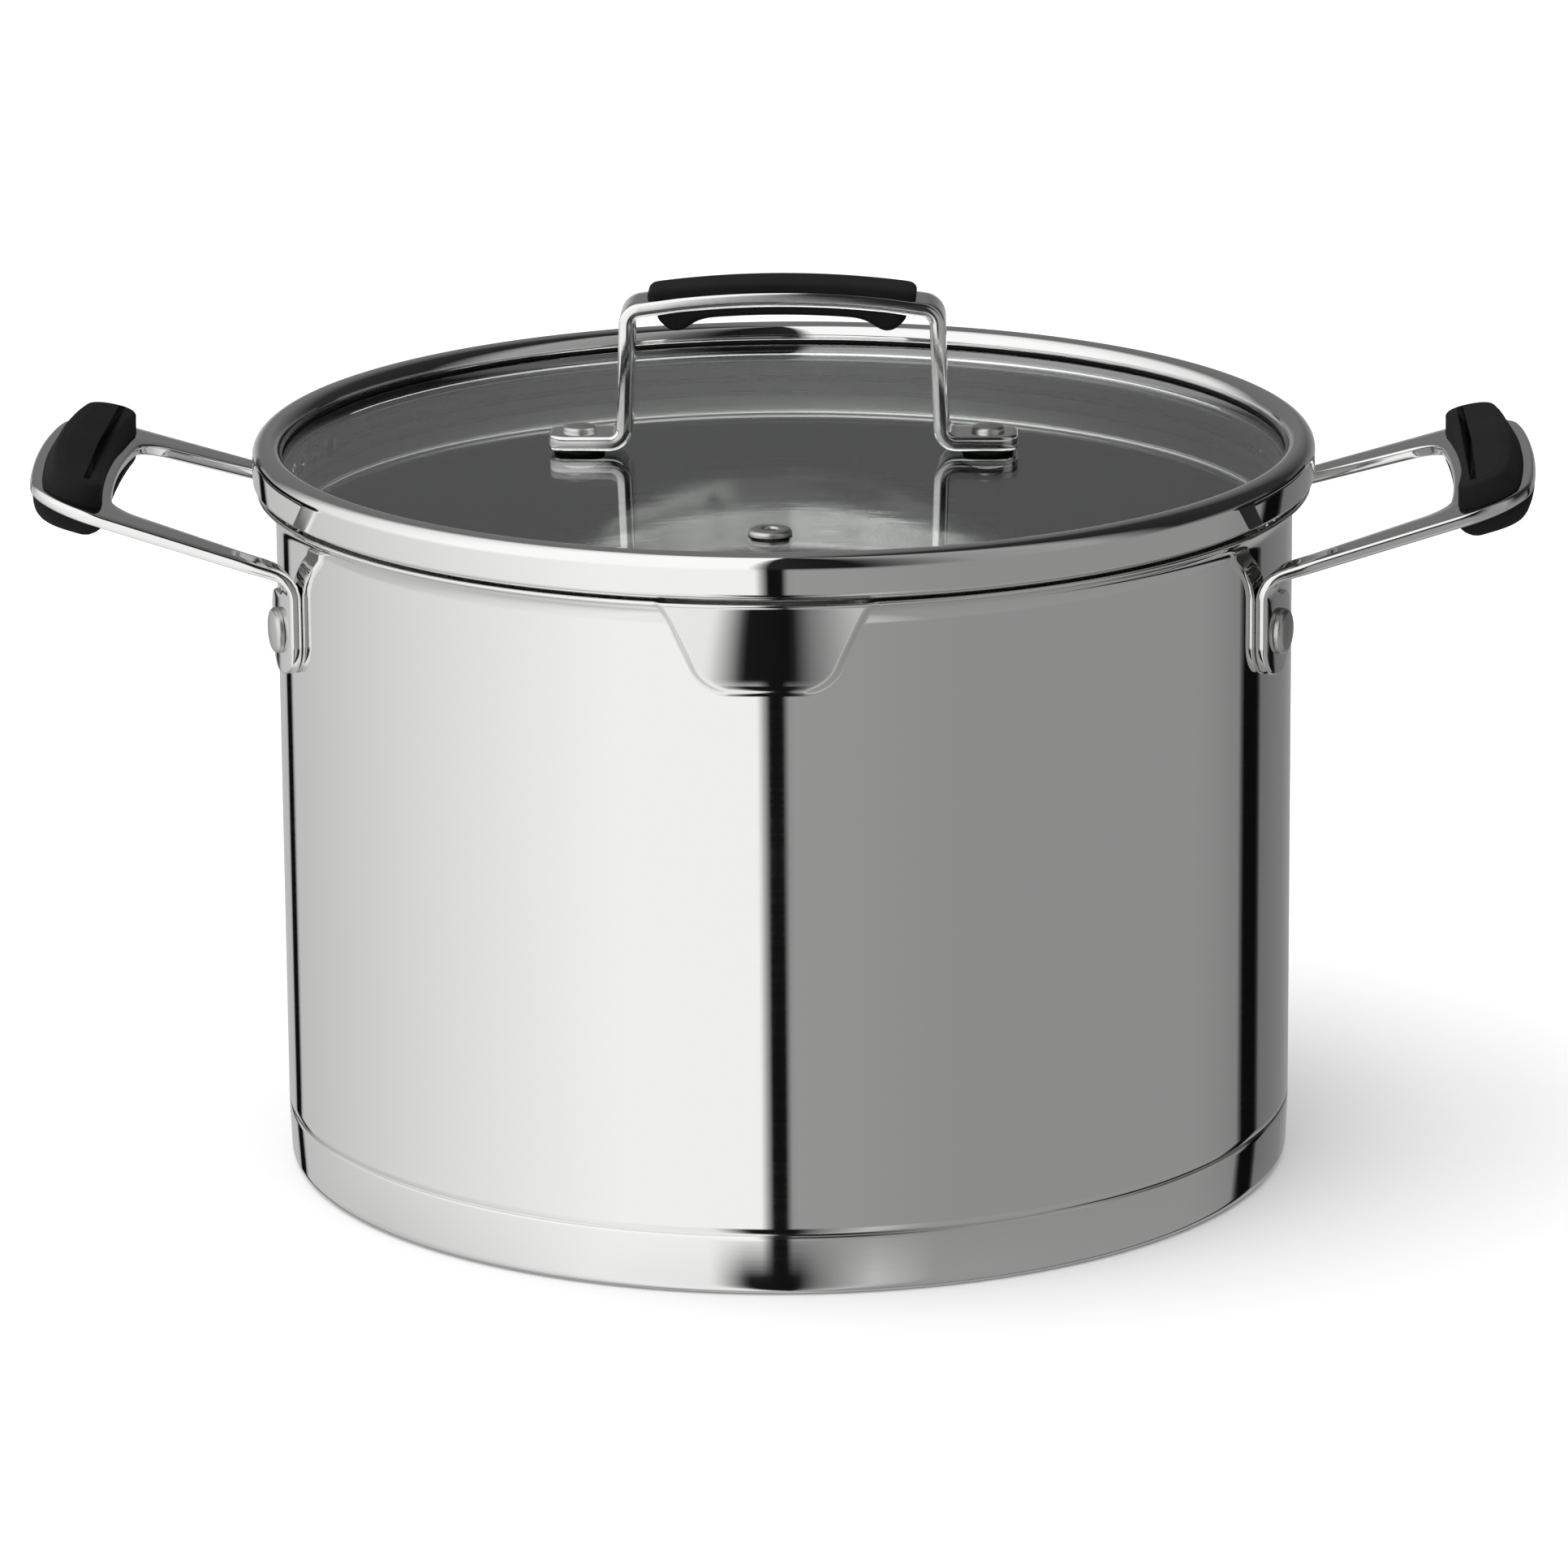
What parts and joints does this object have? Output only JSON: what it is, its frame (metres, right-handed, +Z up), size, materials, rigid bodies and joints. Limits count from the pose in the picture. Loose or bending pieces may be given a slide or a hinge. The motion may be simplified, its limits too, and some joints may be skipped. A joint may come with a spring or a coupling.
{
  "type": "stock pot",
  "caption": "Covered steel stock pot with a capsule base, pressed pouring spout, strap side handles with silicone grips, and a glass lid whose steel ring carries a straining skirt.",
  "frame": {"origin": "middle of the overall size, on the table plane the pot stands on", "axes": "+Z up, +X through the right side handle, the pouring spout on -Y"},
  "size_m": [0.354, 0.2504, 0.2117],
  "materials": {
    "mirror_steel": "mirror polished stainless steel",
    "handle_steel": "polished stainless steel strap",
    "rivet_steel": "satin stainless steel",
    "core_aluminium": "bonded aluminium disc",
    "silicone": "matte black silicone",
    "lid_glass": "clear tempered glass"
  },
  "bodies": {
    "pot": {"pot_shell": "mirror_steel", "base_cap": "mirror_steel", "base_core": "core_aluminium", "left_handle": "handle_steel", "right_handle": "handle_steel", "left_handle_rivets": "rivet_steel", "right_handle_rivets": "rivet_steel", "left_grip": "silicone", "right_grip": "silicone"},
    "lid": {"lid_glass": "lid_glass", "lid_rim": "mirror_steel", "rim_gasket": "silicone", "lid_handle": "handle_steel", "lid_grip": "silicone", "lid_handle_rivets": "rivet_steel", "lid_foot_gaskets": "silicone", "lid_under_gaskets": "silicone", "lid_backing_washers": "rivet_steel", "vent_eyelet": "rivet_steel", "vent_gasket": "silicone"}
  },
  "joints": [
    {"name": "lid_lift", "type": "slide", "parent": "pot", "child": "lid", "axis": [0, 0, 1], "range_m": [0, 0.15]}
  ]
}
